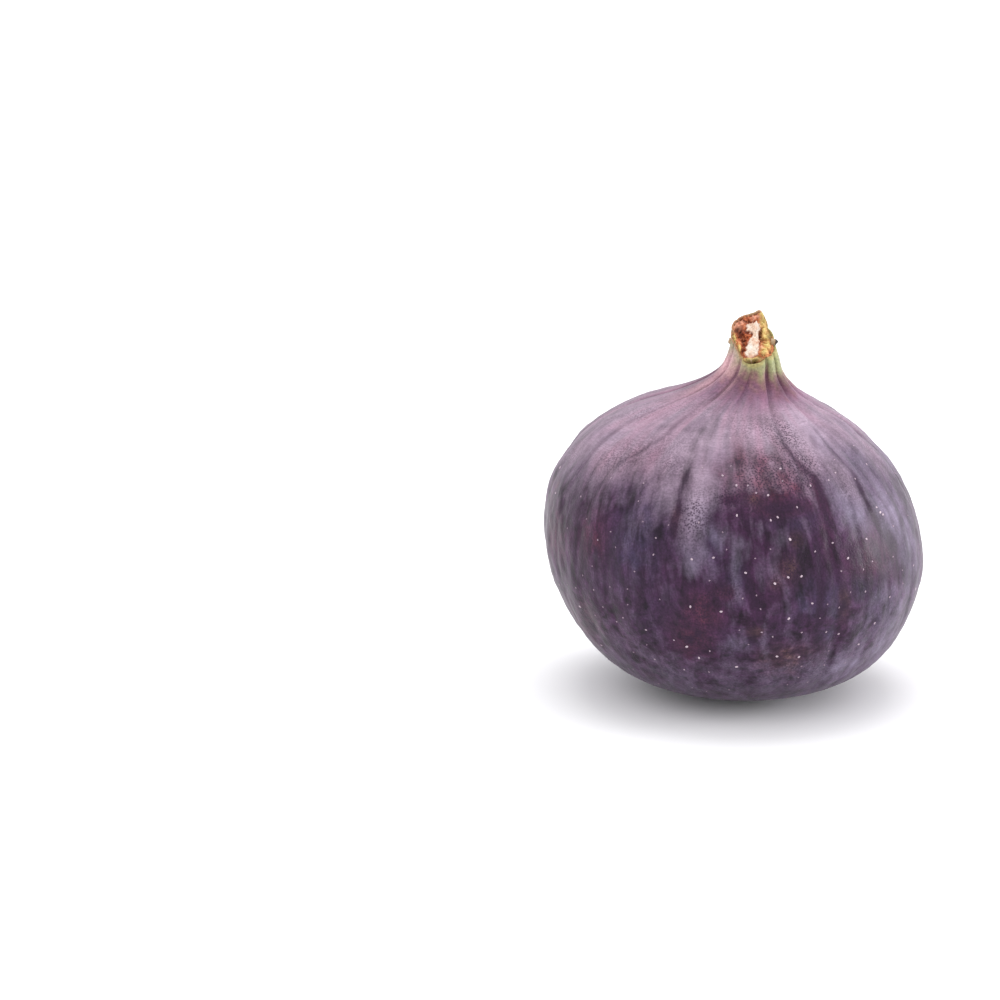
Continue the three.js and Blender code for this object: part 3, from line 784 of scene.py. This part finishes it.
# A lenticel's rings from below the skin up to its crown: share of its size out, and height over the skin in mm.
LENTICEL_RINGS = ((0.6, -0.08), (1.0, -0.03), (0.85, 0.025), (0.5, 0.05), (0.2, 0.06))
LENTICEL_SIDES = 9


def lenticel_surface():
    """Corky specks: low domes whose rings lie round the skin's normal. Some have a place of their own, and the
    rest are at seeded places, evenly spread over the skin and no nearer each other than a gap. Each has a tone:
    most are dark and a few larger and pale."""
    grid, _, heights = skin_grid()[:3]
    normals = normals_of(grid)
    draw = np.random.default_rng(51)
    turn = np.linspace(0, 2 * pi, LENTICEL_SIDES, endpoint=False)
    first_row = DIMPLE_ROWS + 1
    waiting = list(LENTICELS_SEEN)
    placed, parts = [], []
    while len(parts) < LENTICEL_COUNT:
        is_seen = bool(waiting)
        if is_seen:
            degrees_round, height, tone = waiting.pop()
        else:
            degrees_round, height = draw.uniform(-180, 180), draw.uniform(*LENTICEL_HEIGHTS)
            tone = draw.uniform() ** 2 * (0.4 if abs(degrees_round) < 60 else 1)
        row = int(np.searchsorted(heights[first_row:, 0], height)) + first_row
        column = round(degrees_round / 360 * SKIN_COLUMNS) % SKIN_COLUMNS
        spot, normal = grid[row, column], normals[row, column]
        too_wide = draw.uniform(0, BELLY_RADIUS) > float(profile(height))
        too_near = any(np.linalg.norm(spot - other) < LENTICEL_GAP for other in placed)
        if not is_seen and (too_wide or too_near):
            continue
        placed.append(spot)
        side = np.cross(normal, (0, 0, 1))
        side /= np.linalg.norm(side)
        uneven = (LENTICEL_SIZE + LENTICEL_GROWTH * tone) * (1 + 0.2 * np.sin(2 * turn + draw.uniform(0, 6)))[:, None]
        circle = np.cos(turn)[:, None] * side - np.sin(turn)[:, None] * np.cross(normal, side)
        rings = np.array([spot + out * uneven * circle + rise * normal for out, rise in LENTICEL_RINGS])
        parts.append((rings, np.full(rings.shape[:2], tone**1.5)))
    return joined("tone", parts)


# ---- materials ----
def linear(hex_colour):
    """A colour written as sRGB hex, such as "4a3048", as linear red, green, blue and alpha."""
    parts = [int(hex_colour[i:i + 2], 16) / 255 for i in (0, 2, 4)]
    return (*((c / 12.92 if c <= 0.04045 else ((c + 0.055) / 1.055) ** 2.4) for c in parts), 1.0)


def add(tree, kind, inputs=(), output=0, stops=(), **settings):
    """Adds a shader node of that kind, sets it up, and gives its inputs, by socket or in the sockets' order, a
    value or a link from another node's output. stops are a colour ramp's (place, colour) pairs. Returns one of
    the node's outputs."""
    node = tree.nodes.new("ShaderNode" + kind)
    for key, value in settings.items():
        setattr(node, key, value)
    for socket, value in inputs.items() if isinstance(inputs, dict) else enumerate(inputs):
        if isinstance(value, bpy.types.NodeSocket):
            tree.links.new(value, node.inputs[socket])
        else:
            node.inputs[socket].default_value = value
    for k, (place, colour) in enumerate(stops):
        element = node.color_ramp.elements[k] if k < 2 else node.color_ramp.elements.new(place)
        element.position = place
        element.color = linear(colour)
    return node.outputs[output] if node.outputs else None


def new_material(name, *masks):
    """A node material with nothing in it yet but the attributes that its piece is covered with."""
    material = bpy.data.materials.new(name)
    material.use_nodes = True
    tree = material.node_tree
    tree.nodes.clear()
    return material, tree, {key: add(tree, "Attribute", output="Fac", attribute_name=key) for key in masks}


# Mix node sockets for colours: its factor and its two colours; and what makes a Mix node mix colours.
FACTOR, FIRST, SECOND = 0, 6, 7
TINT = {"data_type": "RGBA", "output": 2}


def per_mm(size):
    """The noise scale, in metres of Object coordinates, that gives features of a size in millimetres."""
    return 1 / (size * MM)


def ripe_skin(look, masks):
    """Ripe black fig skin: a thin leathery plant skin, satin, purple black with slate and wine patches, under a pale
    waxy bloom that rubs off on the ribs, and green to yellow where it runs up into the stalk. Some of the bloom is
    painted light, and some dark patches painted shade."""
    material, tree, mask = new_material("ripe fig skin with bloom", *masks)
    place = add(tree, "TexCoord", output="Object")
    along_fruit = add(tree, "Attribute", output="Vector", attribute_name="lengthways")
    # Noises that follow the fruit: how fast they change round it and up it, per millimetre, detail, roughness and
    # distortion. Veins are the contour lines of one of them.
    streak, strand, silk, contour, blotch = (
        add(tree, "TexNoise", {
            "Vector": add(tree, "Mapping", {"Vector": along_fruit, "Scale": (round_it, round_it, up_it)}),
            "Scale": 1.0, "Detail": detail, "Roughness": roughness, "Distortion": distortion,
        })
        for round_it, up_it, detail, roughness, distortion in (
            (0.75, 0.13, 3.0, 0.55, 0.6),  # streaks, a millimetre or two wide and six times as long
            (3.5, 0.5, 3.0, 0.5, 0.0),  # strands, finer and shorter, which creases and veins are made up of
            (0.4, 4.0, 3.0, 0.5, 0.6),  # silky lines round it, 0.25 mm apart and ten times as long
            (0.42, 0.06, 4.0, 0.65, 0.0),  # veins, a few millimetres apart
            (0.6, 0.3, 5.0, 0.65, 0.0),  # blotches
        )
    )
    speckle = add(tree, "TexNoise", {"Vector": place, "Scale": per_mm(0.35), "Detail": 3.0})
    cloud = add(tree, "TexNoise", {"Vector": place, "Scale": per_mm(3.0), "Detail": 4.0, "Roughness": 0.55})
    from_line = add(tree, "Math", (contour, 0.5), operation="SUBTRACT")
    distance = add(tree, "Math", (from_line,), operation="ABSOLUTE")
    line = add(tree, "MapRange", (distance, 0.0, 0.035, 1.0, 0.0))
    fade = add(tree, "MapRange", (cloud, 0.4, 0.62))

    # The skin itself is darker and lighter in blotches, with ragged wine and brown patches.
    ragged = add(tree, "MapRange", (blotch, 0.34, 0.6, 0.25, 1.05))
    dappled = add(tree, "Math", (blotch, streak), operation="ADD")
    shade = add(tree, "MapRange", (dappled, 0.75, 1.25, 0.25, 1.9))
    # The bloom is mauve or pink above and bluish below. It breaks up along the streaks and in clouds, least
    # where it is thick.
    # The bloom's mask also carries painted light: highlights on the front and right, and light bounced up from the
    # floor round the base.
    upper_tone = add(tree, "Mix", {FACTOR: mask["pink"], FIRST: look.bloom, SECOND: look.bloom_pink}, **TINT)
    bloom_tone = add(tree, "Mix", {FACTOR: mask["upper"], FIRST: look.bloom_below, SECOND: upper_tone}, **TINT)
    uneven = add(tree, "Math", (streak, 0.9, cloud), operation="MULTIPLY_ADD")
    broken = add(tree, "MapRange", (uneven, 0.73, 1.17, -1.0, 1.0))
    how_much = add(tree, "MapRange", (mask["bloom"], 0.0, 0.4, 0.13, 0.17))
    bloom = add(tree, "Math", (broken, how_much, mask["bloom"]), operation="MULTIPLY_ADD", use_clamp=True)
    # Dark strands along the veins and creases show where the bloom is thin.
    shown = add(tree, "MapRange", (bloom, 0.25, 0.6, 0.85, 0.12))
    vein = add(tree, "Math", (line, fade), operation="MULTIPLY")
    vein = add(tree, "Math", (vein, shown), operation="MULTIPLY")
    marked = add(tree, "Math", (vein, mask["crease"]), operation="MAXIMUM")
    stranded = add(tree, "MapRange", (strand, 0.4, 0.56, 0.65, 1.0))
    gappy = add(tree, "MapRange", (blotch, 0.38, 0.56, 0.55, 1.0))
    for share in (stranded, gappy, 0.9):
        marked = add(tree, "Math", (marked, share), operation="MULTIPLY")
    # Dark pores, where they crowd: drawn a quarter of a millimetre wide to show, which is coarser than real ones.
    pores = add(tree, "TexVoronoi", {"Vector": place, "Scale": per_mm(0.31)})
    pore = add(tree, "MapRange", (pores, 0.26, 0.62, 0.85, 0.0))
    neck_tone = add(tree, "ValToRGB", {"Fac": mask["neck"]}, stops=(
        (0.0, "866a80"), (1.0, "88915f"), (0.28, "784f6b"), (0.4, "744a5a"), (0.5, "7e605b"), (0.59, "887d61"),
        (0.68, "8b8d64"),
    ))
    neck = add(tree, "MapRange", (mask["neck"], 0.1, 0.5))
    bark_tone = add(tree, "Mix", {FACTOR: mask["bark_side"], FIRST: look.bark_brown, SECOND: look.bark}, **TINT)
    # Fine speckle, drawn a third of a millimetre wide to show, and silky lines in patches where the bloom is thick.
    fleck = add(tree, "MapRange", (speckle, 0.32, 0.68, 0.76, 1.24))
    bare = add(tree, "MapRange", (bloom, 0.3, 0.8, 1.0, 0.45))
    silky = add(tree, "MapRange", (silk, 0.35, 0.65, 0.84, 1.16))
    silk_patches = add(tree, "MapRange", (cloud, 0.42, 0.58))
    brushed = add(tree, "MapRange", (strand, 0.35, 0.65, 0.9, 1.1))
    lower = add(tree, "MapRange", (mask["upper"], 0.0, 1.0, 0.8, 0.1))
    wine, brown, pored, brush, silken = (
        add(tree, "Math", pair, operation="MULTIPLY")
        for pair in (
            (mask["wine"], ragged), (mask["brown"], ragged), (pore, mask["stipple"]), (lower, silk_patches),
            (silk_patches, bloom),
        )
    )
    colour = look.purple
    for cover, over, blend in (
        (mask["slate"], look.slate, "MIX"),
        (wine, look.wine, "MIX"),
        (brown, look.brown, "MIX"),
        (1.0, shade, "MULTIPLY"),
        # Dark patches, partly painted shadow and shade.
        (mask["dark"], look.vein, "MIX"),
        # The bloom, with the painted highlights and floor light that its mask carries.
        (bloom, bloom_tone, "MIX"),
        (marked, look.vein, "MIX"),
        (pored, look.vein, "MIX"),
        (neck, neck_tone, "MIX"),
        # Pale flutes of the neck, partly a painted highlight.
        (mask["highlit_blush"], look.highlit_blush, "MIX"),
        # Dusky flutes, partly painted shade, and the neck's creases.
        (mask["shaded_dusk"], look.neck_crease_and_shade, "MIX"),
        (mask["bark"], bark_tone, "MIX"),
        (bare, fleck, "MULTIPLY"),
        (silken, silky, "MULTIPLY"),
        (brush, brushed, "MULTIPLY"),
    ):
        colour = add(tree, "Mix", {FACTOR: cover, FIRST: colour, SECOND: over}, blend_type=blend, **TINT)
    rough = add(tree, "MapRange", (bloom, 0.0, 1.0, 0.4, 0.58))
    grain = add(tree, "Math", (speckle, blotch), operation="ADD")
    relief = add(tree, "Bump", {"Height": grain, "Strength": 0.4, "Distance": 0.12 * MM})
    shader = add(tree, "BsdfPrincipled", {
        "Base Color": colour, "Roughness": rough, "IOR": 1.37, "Specular IOR Level": 0.36,
        "Specular Tint": linear("f3e9f3"), "Normal": relief, "Sheen Weight": 0.09, "Sheen Roughness": 0.35,
        "Sheen Tint": linear("d9cfe0"),
    })
    add(tree, "OutputMaterial", {"Surface": shader})
    return material


def dried_cut(look):
    """The cut end of a stalk, days old: fibrous white pith, milky sap dried to an orange brown crust with dark
    cracks, and a ridge of green bark gone yellow. Matt, lumpy, with a little shine on the sap."""
    material, tree, mask = new_material("pith and dried sap", "pith", "dark", "ridge", "green", "pink")
    place = add(tree, "TexCoord", output="Object")
    grit = add(tree, "TexNoise", {"Vector": place, "Scale": per_mm(0.4), "Detail": 4.0, "Roughness": 0.7})
    stain = add(tree, "TexNoise", {"Vector": place, "Scale": per_mm(1.4), "Detail": 3.0, "Roughness": 0.6})
    half_grit = add(tree, "Math", (grit, 0.5), operation="MULTIPLY")
    crusty = add(tree, "Math", (stain, 0.5, half_grit), operation="MULTIPLY_ADD")
    ridge = add(tree, "ValToRGB", {"Fac": grit}, stops=((0.3, "b39a52"), (0.7, "e3cf86")))
    pith = add(tree, "ValToRGB", {"Fac": stain}, stops=((0.35, "c79c83"), (0.66, "ddd5cc"), (0.5, "d5c0ae")))
    darkness = add(tree, "MapRange", (grit, 0.35, 0.62, 1.0, 0.6))
    dark = add(tree, "Math", (mask["dark"], darkness), operation="MULTIPLY")
    colour = add(tree, "ValToRGB", {"Fac": crusty}, stops=((0.4, "4c1404"), (0.62, "d68a5c"), (0.5, "a2481d")))
    for cover, over in (
        (mask["pink"], linear("dfa084")),
        (mask["ridge"], ridge),
        (mask["green"], linear("6f6230")),
        (mask["pith"], pith),
        (dark, look.dried_sap),
    ):
        colour = add(tree, "Mix", {FACTOR: cover, FIRST: colour, SECOND: over}, **TINT)
    relief = add(tree, "Bump", {"Height": grit, "Strength": 0.5, "Distance": 0.12 * MM})
    shader = add(tree, "BsdfPrincipled", {"Base Color": colour, "Roughness": 0.62, "IOR": 1.45, "Normal": relief})
    add(tree, "OutputMaterial", {"Surface": shader})
    return material


def withered(name, root_colour, tip_colour):
    """A scale or a bract's scar, skin that has dried to a thin brown scab: dull, darker at its tip."""
    material, tree, mask = new_material(name, "tip")
    place = add(tree, "TexCoord", output="Object")
    fibre = add(tree, "TexNoise", {"Vector": place, "Scale": per_mm(0.3), "Detail": 3.0})
    colour = add(tree, "Mix", {FACTOR: mask["tip"], FIRST: root_colour, SECOND: tip_colour}, **TINT)
    shade = add(tree, "MapRange", (fibre, 0.3, 0.7, 0.7, 1.2))
    colour = add(tree, "Mix", {FACTOR: 1.0, FIRST: colour, SECOND: shade}, blend_type="MULTIPLY", **TINT)
    relief = add(tree, "Bump", {"Height": fibre, "Strength": 0.4, "Distance": 0.06 * MM})
    shader = add(tree, "BsdfPrincipled", {"Base Color": colour, "Roughness": 0.6, "IOR": 1.45, "Normal": relief})
    add(tree, "OutputMaterial", {"Surface": shader})
    return material


def lenticel_cork(look):
    """Lenticels: pores plugged with loose cork, matt, most of them dull and a few pale."""
    material, tree, mask = new_material("lenticel cork", "tone")
    colour = add(tree, "Mix", {FACTOR: mask["tone"], FIRST: look.cork_dark, SECOND: look.cork}, **TINT)
    shader = add(tree, "BsdfPrincipled", {"Base Color": colour, "Roughness": 0.7, "IOR": 1.45})
    add(tree, "OutputMaterial", {"Surface": shader})
    return material


def white_card():
    """The stage's floor: matt white card. From below it is clear, so that the fruit's underside can be seen."""
    material, tree, _ = new_material("matt white card")
    card = add(tree, "BsdfDiffuse", {"Color": linear("f6f6f8")})
    clear = add(tree, "BsdfTransparent")
    below = add(tree, "NewGeometry", output="Backfacing")
    add(tree, "OutputMaterial", {"Surface": add(tree, "MixShader", (below, card, clear))})
    return material


# ---- the stage ----
CAMERA_RISE = radians(15)  # above the horizon
CAMERA_DISTANCE = 600.0
PICTURE_SIZE = 1000.0
PIXELS_PER_MM = 6.25  # at the fruit's distance
FOOT_PIXEL = (740.0, 684.0)  # where the foot's middle shows
SENSOR_WIDTH = 36.0
NEAREST, FARTHEST = 0.05, 20  # that the camera sees, in metres
# Softboxes: name, place and size in metres.
OVERHEAD = ("overhead_softbox", (0.0, 0.12, 0.7), 0.5)
AT_RIGHT = ("side_softbox", (0.8, 0.05, 0.15), 0.3)


def add_camera():
    """A long lens, level from side to side, aimed so that the foot's middle shows at its pixel."""
    forward = np.array((0, cos(CAMERA_RISE), -sin(CAMERA_RISE)))
    up = np.array((0, sin(CAMERA_RISE), cos(CAMERA_RISE)))
    aside = (FOOT_PIXEL[0] - PICTURE_SIZE / 2) / PIXELS_PER_MM
    below = (FOOT_PIXEL[1] - PICTURE_SIZE / 2) / PIXELS_PER_MM
    place = to_row_frame() - aside * np.array((1, 0, 0)) + below * up - CAMERA_DISTANCE * forward
    data = bpy.data.cameras.new("camera")
    data.sensor_width = SENSOR_WIDTH
    data.lens = PIXELS_PER_MM * CAMERA_DISTANCE / PICTURE_SIZE * SENSOR_WIDTH
    data.clip_start, data.clip_end = NEAREST, FARTHEST
    camera = bpy.data.objects.new("camera", data)
    camera.location = place * MM
    camera.rotation_euler = (pi / 2 - CAMERA_RISE, 0, 0)
    bpy.context.scene.collection.objects.link(camera)
    bpy.context.scene.camera = camera


def add_softbox(name, place, size, power):
    """A square softbox, in metres and watts, that faces the fruit."""
    data = bpy.data.lights.new(name, "AREA")
    data.shape = "SQUARE"
    data.size = size
    data.energy = power
    lamp = bpy.data.objects.new(name, data)
    lamp.location = place
    lamp.rotation_euler = (-Vector(place)).to_track_quat("-Z", "Y").to_euler()
    bpy.context.scene.collection.objects.link(lamp)


# ---- the add-on ----
def colour_setting(name, description, hex_colour):
    """A colour that a user can change."""
    return bpy.props.FloatVectorProperty(
        name=name, description=description, default=linear(hex_colour), subtype="COLOR", size=4, min=0, max=1
    )


class FigLook(bpy.types.PropertyGroup):
    """Colours of the fruit."""

    purple: colour_setting("Flesh of the skin", "Purple black of the skin under its bloom", "311831")
    slate: colour_setting("Slate", "Bluer skin in broad patches", "2e2439")
    wine: colour_setting("Wine", "Red skin where the bloom is rubbed off", "4c2432")
    brown: colour_setting("Brown", "Brown bruised patches", "4c3634")
    bloom: colour_setting("Bloom", "Waxy bloom on the shoulder", "968293")
    # Also the colour of a painted highlight on the neck's left flutes.
    highlit_blush: colour_setting("Blush", "Pale pink flutes of the neck", "c29aa0")
    bark_brown: colour_setting("Brown bark", "Bark of the stub where it has browned", "a87c60")
    bloom_pink: colour_setting("Pink bloom", "Bloom over redder skin, toward the neck", "997488")
    # Also the colour of painted floor light round the base and of painted highlights low on the fruit.
    bloom_below: colour_setting("Lower bloom", "Waxy bloom on the belly", "7e7388")
    # Also the colour of painted shade on flutes of the neck.
    neck_crease_and_shade: colour_setting("Neck crease", "Purple in the creases of the neck", "512f40")
    vein: colour_setting("Vein", "Dark lines along the veins and grooves", "27142a")
    bark: colour_setting("Bark", "Dried edge of the cut stalk", "9c9362")
    dried_sap: colour_setting("Dried sap", "Dark cracks in the sap dried on the cut", "390f06")
    scale: colour_setting("Scale", "Scales that close the eye", "8a5f5c")
    scale_tip: colour_setting("Scale tip", "Withered tips of the scales", "4a2c26")
    cork: colour_setting("Cork", "Lenticels, at their palest", "bcaab4")
    cork_dark: colour_setting("Darker cork", "Lenticels, at their darkest", "8a7484")


class FigStage(bpy.types.PropertyGroup):
    """Floor and light."""

    floor_size: bpy.props.FloatProperty(
        name="Floor", description="Width of the floor", default=6.0, min=1, unit="LENGTH", subtype="DISTANCE",
    )
    overhead_power: bpy.props.FloatProperty(
        name="Overhead", description="Power of the softbox overhead", default=2.0, min=0, unit="POWER",
    )
    side_power: bpy.props.FloatProperty(
        name="Side", description="Power of the softbox to the right", default=3.6, min=0, unit="POWER",
    )
    sky: bpy.props.FloatProperty(
        name="Surroundings", description="Brightness of the white surroundings", default=1.3, min=0,
        subtype="FACTOR", max=5,
    )


class FIG_OT_skin(bpy.types.Operator):
    """Makes the skin, which stands for the whole solid"""

    bl_idname = "fig.skin"
    bl_label = "Skin"

    def execute(self, context):
        surface, attributes = skin_surface()
        masks = sorted(attributes.keys() - {"lengthways"})
        skin = make_piece("fig_skin", ripe_skin(context.scene.fig_look, masks), surface, attributes)
        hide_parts(NODE)
        return {"FINISHED"}


class FIG_OT_stalk(bpy.types.Operator):
    """Makes the cut face of the stalk and the scars of its bracts"""

    bl_idname = "fig.stalk"
    bl_label = "Stalk"

    def execute(self, context):
        make_piece("stalk_cut", dried_cut(context.scene.fig_look), *cut_surface())
        scab = withered("bract scar, dried", linear("a88e70"), linear("1d1210"))
        make_piece("bract_scars", scab, *bract_surfaces())
        return {"FINISHED"}


class FIG_OT_eye(bpy.types.Operator):
    """Makes the scales that close the eye"""

    bl_idname = "fig.eye"
    bl_label = "Eye scales"

    def execute(self, context):
        look = context.scene.fig_look
        make_piece("eye_scales", withered("eye scale, dried", look.scale, look.scale_tip), *eye_scale_surfaces())
        return {"FINISHED"}


class FIG_OT_lenticels(bpy.types.Operator):
    """Makes the lenticels, the pale corky specks all over the skin"""

    bl_idname = "fig.lenticels"
    bl_label = "Lenticels"

    def execute(self, context):
        make_piece("lenticels", lenticel_cork(context.scene.fig_look), *lenticel_surface())
        return {"FINISHED"}


class FIG_OT_stage(bpy.types.Operator):
    """Makes the floor, the surroundings, the softboxes and the camera"""

    bl_idname = "fig.stage"
    bl_label = "Stage"

    def execute(self, context):
        stage = context.scene.fig_stage
        half = stage.floor_size / 2
        mesh = bpy.data.meshes.new("floor")
        corners = [(-half, -half, 0), (half, -half, 0), (half, half, 0), (-half, half, 0)]
        mesh.from_pydata(corners, [], [(0, 1, 2, 3)])
        mesh.materials.append(white_card())
        floor = bpy.data.objects.new("floor", mesh)
        context.scene.collection.objects.link(floor)

        world = bpy.data.worlds.new("white surroundings")
        world.use_nodes = True
        sky = world.node_tree.nodes["Background"]
        sky.inputs["Color"].default_value = (1, 1, 1, 1)
        sky.inputs["Strength"].default_value = stage.sky
        context.scene.world = world
        context.scene.view_settings.view_transform = "Standard"
        add_softbox(*OVERHEAD, stage.overhead_power)
        add_softbox(*AT_RIGHT, stage.side_power)
        add_camera()
        return {"FINISHED"}


class FIG_PT_sidebar(bpy.types.Panel):
    """Lists the fruit's pieces and settings"""

    bl_idname = "FIG_PT_sidebar"
    bl_label = "Fresh fig"
    bl_space_type = "VIEW_3D"
    bl_region_type = "UI"
    bl_category = "Fig"

    def draw(self, context):
        layout = self.layout
        for operator in OPERATORS:
            layout.operator(operator.bl_idname)
        for settings in (context.scene.fig_look, context.scene.fig_stage):
            box = layout.box()
            for key in settings.__annotations__:
                box.prop(settings, key)


OPERATORS = (FIG_OT_skin, FIG_OT_stalk, FIG_OT_eye, FIG_OT_lenticels, FIG_OT_stage)
CLASSES = (FigLook, FigStage, *OPERATORS, FIG_PT_sidebar)


def register():
    for cls in CLASSES:
        bpy.utils.register_class(cls)
    bpy.types.Scene.fig_look = bpy.props.PointerProperty(type=FigLook)
    bpy.types.Scene.fig_stage = bpy.props.PointerProperty(type=FigStage)


def unregister():
    del bpy.types.Scene.fig_stage
    del bpy.types.Scene.fig_look
    for cls in reversed(CLASSES):
        bpy.utils.unregister_class(cls)


def main():
    """Makes every piece and the stage."""
    register()
    bpy.ops.fig.skin()
    bpy.ops.fig.stalk()
    bpy.ops.fig.eye()
    bpy.ops.fig.lenticels()
    bpy.ops.fig.stage()


if __name__ == "__main__":
    main()
